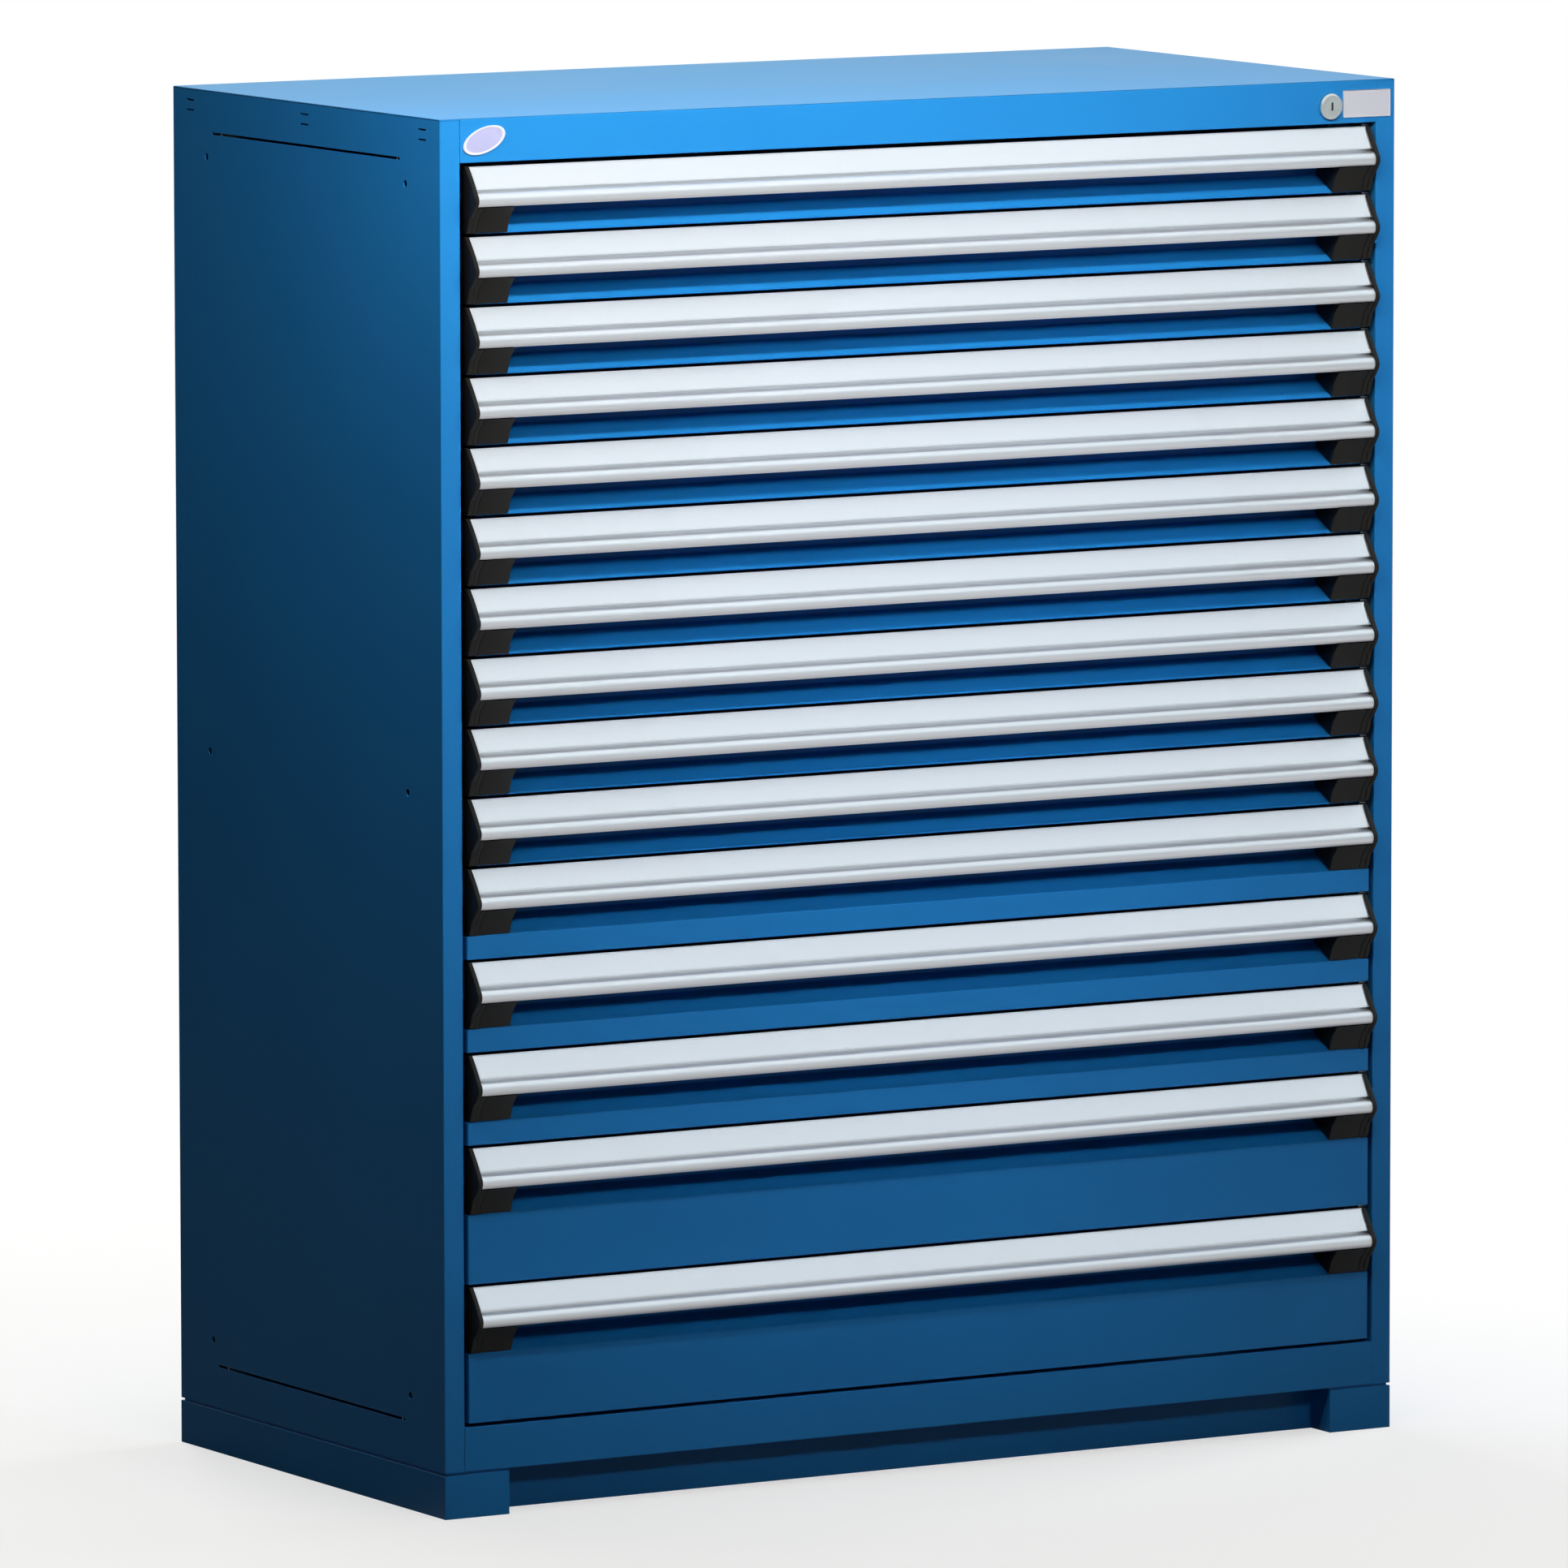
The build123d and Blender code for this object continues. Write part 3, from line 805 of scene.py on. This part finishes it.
for index, kind in enumerate(kinds):
    number = f"{index + 1:02d}"
    drawer = f"drawer_{number}"
    handle_node, box_node = f"{drawer}_handle", f"{drawer}_box"
    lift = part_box(handle_node)[1].z + handle_drop
    front, strip = f"front_{number}", f"label_strip_{number}"
    set_in_place(handle_master, f"handle_{number}", lift, drawer, handle_node)
    set_in_place(strip_master, strip, lift, drawer, handle_node)
    set_in_place(front_masters[kind], front, lift, drawer, box_node)
    set_in_place(tray_masters[kind], f"tray_{number}", lift, drawer, box_node)
    set_in_place(catch_master, f"catch_{number}", lift, drawer, box_node)
    for side in ("left", "right"):
        cap, runner = f"cap_{side}_{number}", f"runner_{side}_{number}"
        set_in_place(cap_masters[side], cap, lift, drawer, handle_node)
        set_in_place(runner_masters[side], runner, lift, drawer, box_node)
        set_in_place(
            carriage_masters[side], f"carriage_{side}_{number}", lift, f"carriage_{number}",
            f"{drawer}_carriage",
        )
masters = [handle_master, strip_master, catch_master, *cap_masters.values(),
           *front_masters.values(), *tray_masters.values(), *runner_masters.values(),
           *carriage_masters.values()]
for master in masters:
    bpy.data.objects.remove(master, do_unlink=True)

# %% [markdown]
# ## Keyway
# The plug's keyway looks black from outside, because its inside lies in shade. It could be a
# deeper hole, but light would still reach its walls, so a black slotted block fills it as painted
# shade.
# It stands a tenth of a millimetre proud of the plug's face and turns with the plug.

# %% Painted shade in the keyway
lock_low, lock_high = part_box("lock_housing")
plug_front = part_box("lock_plug")[0].y
lock_x = (lock_low.x + lock_high.x) / 2
lock_z = housing_top - mm(28.0)
shade_half, shade_half_height = mm(1.4), mm(4.7)
shade_proud, shade_depth = mm(0.1), mm(2.9)
# Painted shade: a black block stands in for the dark inside of the keyway.
keyway_shade = block(
    "keyway_painted_shade", (lock_x - shade_half, plug_front - shade_proud, lock_z - shade_half_height),
    (lock_x + shade_half, plug_front + shade_depth, lock_z + shade_half_height),
)
select_where(keyway_shade, "FACE", lambda face: face.normal.y < -facing)
bpy.ops.mesh.inset(thickness=mm(0.5), depth=-mm(0.6))
leave_edit_mode()
soften(keyway_shade, mm(0.1), segments=1)
keyway_shade.data.materials.append(black_abs)
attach(keyway_shade, "lock_plug")
print("keyway at x", round(lock_x, 4), "z", round(lock_z, 4))

# %% [markdown]
# ## Oval badge
# The top rail has two places for identification, and both stay bare here. The one at the left is
# a small domed badge with a raised white rim around a lilac field. A flattened sphere would give
# the dome but not the rim, so it is a disc, inset in steps and pushed out, scaled to an oval,
# then tilted in its own plane.

# %% Oval badge
badge_place = Vector((-mm(555.5), front_y, mm(1500.0)))
badge_half = (mm(27.0), mm(13.6))
badge_tilt = math.radians(20)
badge_rise = mm(1.6)
badge_steps = ((0.10, 0), (0.04, -0.5), (0.25, 0.35), (0.25, 0.15))
deselect()
bpy.ops.mesh.primitive_circle_add(vertices=64, radius=1, fill_type="NGON", location=(0, 0, 0))
badge = bpy.context.object
badge.name = "oval_badge"
badge.data.name = "oval_badge"
bpy.ops.object.mode_set(mode="EDIT")
bpy.ops.mesh.select_all(action="SELECT")
bpy.ops.mesh.extrude_region_move(TRANSFORM_OT_translate={"value": (0, 0, badge_rise)})
for inward, outward_mm in badge_steps:
    bpy.ops.mesh.inset(thickness=inward, depth=mm(outward_mm))
bpy.ops.mesh.select_all(action="SELECT")
bpy.ops.mesh.normals_make_consistent(inside=False)
bpy.ops.object.mode_set(mode="OBJECT")
badge.scale = (*badge_half, 1)
bpy.ops.object.transform_apply(location=True, rotation=True, scale=True)
badge.rotation_euler = (math.radians(90), 0, 0)
bpy.ops.object.transform_apply(location=True, rotation=True, scale=True)
badge.rotation_euler = (0, -badge_tilt, 0)
badge.location = badge_place
bpy.ops.object.transform_apply(location=True, rotation=True, scale=True)
soften(badge, mm(0.2))
badge.data.materials.append(white_vinyl)
badge.data.materials.append(badge_resin)
across = Vector((math.cos(badge_tilt), 0, math.sin(badge_tilt)))
along = Vector((-math.sin(badge_tilt), 0, math.cos(badge_tilt)))
field_share = 0.84
for polygon in badge.data.polygons:
    offset = polygon.center - badge_place
    reach = math.hypot(offset.dot(across) / badge_half[0], offset.dot(along) / badge_half[1])
    polygon.material_index = 1 if reach < field_share else 0
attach(badge, "housing")
print("badge at z", round(badge_place.z, 3), "faces", len(badge.data.polygons))

# %% [markdown]
# ## Vinyl label
# Beside the lock sits a thin vinyl label, under a third of a millimetre thick. It could be a
# patch of white on the rail, but a real sheet has an edge that catches the light. A thin block
# with its four corners rounded is enough.

# %% Vinyl label beside the lock
label_low = (mm(541.0), front_y - mm(0.3), mm(1482.5))
label_high = (mm(603.0), front_y - mm(0.02), mm(1513.0))
label = block("vinyl_label", label_low, label_high)
select_where(label, "EDGE", lambda edge: abs(direction(label, edge).y) > facing)
bpy.ops.mesh.bevel(offset=mm(1.5), segments=6, affect="EDGES")
leave_edit_mode()
label.data.materials.append(white_vinyl)
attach(label, "housing")
print("label", [round(b - a, 4) for a, b in zip(label_low, label_high)])

# %% [markdown]
# ## Camera
# The camera stands in front of the cabinet's left corner, a little above it, with a long lens. It
# could be aimed by eye. Its place was solved from the housing's edges instead, so that the
# model's edges fall where the real ones do.

# %% Camera
image_px = 1932
focal_px = 17874.8
azimuth, elevation, roll = math.radians(-30.403), math.radians(6.798), math.radians(-0.074)
distance, shift_x, shift_z = 16.328, -0.002729, 0.731858
back = Vector((math.sin(azimuth) * math.cos(elevation), -math.cos(azimuth) * math.cos(elevation),
               math.sin(elevation)))
right = Vector((math.cos(azimuth), math.sin(azimuth), 0))
up = back.cross(right)
camera_right = right * math.cos(roll) + up * math.sin(roll)
camera_up = up * math.cos(roll) - right * math.sin(roll)
housing_centre_y = (front_y + back_y) / 2
position = back * distance + right * shift_x + up * shift_z + Vector((0, housing_centre_y, 0))
camera = bpy.data.objects.new("camera", bpy.data.cameras.new("camera"))
bpy.context.scene.collection.objects.link(camera)
facing_cabinet = Matrix((camera_right, camera_up, back)).transposed().to_4x4()
camera.matrix_world = Matrix.Translation(position) @ facing_cabinet
sensor_mm = 36
camera.data.sensor_width = sensor_mm
camera.data.lens = sensor_mm * focal_px / image_px
camera.data.clip_end = 100
bpy.context.scene.camera = camera
print("camera at", [round(v, 3) for v in camera.location])

# %% [markdown]
# ## Studio
# A long soft box hangs close in front of the cabinet, above its top and facing straight ahead, so
# each handle throws a shadow down into its recess and the light fades towards the floor. One
# large lamp further away would be simpler, but it would light the low drawers as much as the high
# ones. A distant one with a narrow beam reaches into the recesses and leaves the floor and the
# toe plate alone. A small one catches the left side near the front, and others keep the top, the
# right side and the back from going black. The near lamp is a touch warm and the distant one a
# touch cool, which keeps the lower drawers a deep blue. The one above the top is pale yellow,
# which turns the top's blue towards cyan. The lamps are hidden from reflections: what shines
# mirrors the pale room instead, so no lamp burns a spot into the metal.

# %% Lamps
def soft_box(name, place, target, length, width, power, spread=180, tint="#FFFFFF"):
    light = bpy.data.lights.new(name, "AREA")
    light.shape = "RECTANGLE"
    light.size = length
    light.size_y = width
    light.energy = power
    light.spread = math.radians(spread)
    light.color = colour(tint)[:3]
    lamp = bpy.data.objects.new(name, light)
    bpy.context.scene.collection.objects.link(lamp)
    lamp.location = place
    lamp.rotation_euler = (Vector(target) - Vector(place)).to_track_quat("-Z", "Y").to_euler()
    lamp.visible_glossy = False


key_height = 2.14
key_reach = 0.96
key_x = -0.3
soft_box(
    "key", (key_x, front_y - key_reach, key_height), (key_x, front_y, key_height), 1.5, 0.15, 30,
    tint="#FFFBF2",
)
soft_box("recess_fill", (0.5, -4.2, 2.6), (0, 0, 0.85), 1.2, 0.6, 3.3, spread=28, tint="#EAF3FF")
soft_box("left_fill", (-1.15, front_y - 0.35, 1.95), (-0.61, 0, 1.1), 0.3, 0.3, 5)
soft_box("top_fill", (-0.2, 0.4, 3.2), (0, 0.1, 1.5), 1.6, 1.2, 24, tint="#FFFFCC")
soft_box("right_fill", (4.0, 0.3, 2.2), (0, 0.3, 0.8), 2.0, 1.5, 135)
soft_box("back_fill", (0.3, 4.2, 2.2), (0, 0, 0.8), 2.0, 1.5, 135)
print("lamps", [light.name for light in bpy.data.lights])

# %% [markdown]
# ## Room
# The camera sees a white backdrop. Diffuse surfaces get next to no light from it, so the lamps
# alone model the cabinet. Shiny ones see a room: a cool white ceiling, the white backdrop
# wherever they mirror what lies behind the cabinet, and a greyer wall in front. That gives the
# extrusions their bright faces and grey undersides. Walls and cards could be built around the
# cabinet, but they would shade the lamps, so the world's colour takes their part.

# %% Light of the room
room_light = 0.02
wall_light = 0.6


def maths(tree, operation, first, second):
    inputs = {0: first, 1: second}
    return add_node(tree, "ShaderNodeMath", inputs, operation=operation).outputs[0]


# %% What shiny surfaces mirror
world = bpy.data.worlds.new("studio")
bpy.context.scene.world = world
world.use_nodes = True
tree = world.node_tree
tree.nodes.clear()
look = add_node(tree, "ShaderNodeTexCoord").outputs["Generated"]
height = add_node(tree, "ShaderNodeSeparateXYZ", {"Vector": look}).outputs["Z"]
ceiling = map_range(tree, height, from_max=0.4)
ahead = add_node(tree, "ShaderNodeVectorMath", {0: look}, operation="DOT_PRODUCT")
ahead.inputs[1].default_value = -back
backdrop = map_range(tree, ahead.outputs["Value"], from_min=0.85, from_max=0.97)
forward = add_node(tree, "ShaderNodeSeparateXYZ", {"Vector": look}).outputs["Y"]
front_wall = map_range(tree, forward, to_max=wall_light, from_max=-0.5)
pale = maths(tree, "MAXIMUM", maths(tree, "MAXIMUM", ceiling, backdrop), front_wall)
print("room nodes", len(tree.nodes))

# %% What each kind of ray sees
path = add_node(tree, "ShaderNodeLightPath")
mirrored = maths(tree, "MULTIPLY", path.outputs["Is Glossy Ray"], pale)
tone = add_node(tree, "ShaderNodeMix", {"Factor": mirrored}, data_type="RGBA")
tone.inputs["A"].default_value = (room_light, room_light, room_light, 1)
tone.inputs["B"].default_value = colour("#E6F2F8")
seen = add_node(tree, "ShaderNodeMix", {"Factor": path.outputs["Is Camera Ray"]}, data_type="RGBA")
tree.links.new(tone.outputs["Result"], seen.inputs["A"])
seen.inputs["B"].default_value = (1, 1, 1, 1)
shade = add_node(tree, "ShaderNodeBackground", {"Color": seen.outputs["Result"]})
add_node(tree, "ShaderNodeOutputWorld", {"Surface": shade.outputs[0]})
print("room light on diffuse surfaces", room_light)

# %% [markdown]
# ## Floor
# The floor is a pale paper sweep. A plain white plane could do, but it would show a horizon and
# light the cabinet from below. Near the cabinet this one keeps the soft shadow, and further out
# it fades to the white of the backdrop. It is dark to the light that bounces off it, so the
# cabinet's lower half isn't lit from below. In front of the cabinet it glows white to mirrored
# rays alone, a painted reflection that the handles' lips show as a pale floor.

# %% Floor
floor_half = 4.0
deselect()
bpy.ops.mesh.primitive_plane_add(size=2 * floor_half)
floor = bpy.context.object
floor.name = "floor"
material, tree, shader = new_material("pale_floor")
shader.inputs["Base Color"].default_value = colour("#3C3C3C")
shader.inputs["Roughness"].default_value = 0.9
place = add_node(tree, "ShaderNodeTexCoord").outputs["Object"]
far = add_node(tree, "ShaderNodeVectorMath", {0: place}, operation="LENGTH").outputs["Value"]
fade = map_range(tree, far, to_min=0.62, from_min=0.7, from_max=2.4)
paper = add_node(tree, "ShaderNodeBsdfDiffuse", {"Color": colour("#F0F0F0")}).outputs[0]
white = add_node(tree, "ShaderNodeEmission").outputs[0]
sweep = add_node(tree, "ShaderNodeMixShader", {0: fade, 1: paper, 2: white}).outputs[0]
distance_y = add_node(tree, "ShaderNodeSeparateXYZ", {"Vector": place}).outputs["Y"]
# Painted reflection: in front of the cabinet the floor glows white to mirrored rays only.
before = map_range(tree, distance_y, to_max=wall_light, from_min=-0.1, from_max=-0.6)
ray = add_node(tree, "ShaderNodeLightPath")
glossy_part = maths(tree, "MULTIPLY", ray.outputs["Is Glossy Ray"], before)
pale_part = maths(tree, "MAXIMUM", glossy_part, ray.outputs["Is Camera Ray"])
mixed = add_node(tree, "ShaderNodeMixShader", {0: pale_part, 1: shader.outputs[0], 2: sweep})
tree.links.new(mixed.outputs[0], tree.nodes["Material Output"].inputs["Surface"])
floor.data.materials.append(material)
print("floor", 2 * floor_half, "wide")

# %% [markdown]
# ## Finish
# The colours are shown with the Standard view transform.

# %% Finish
bpy.context.scene.view_settings.view_transform = "Standard"
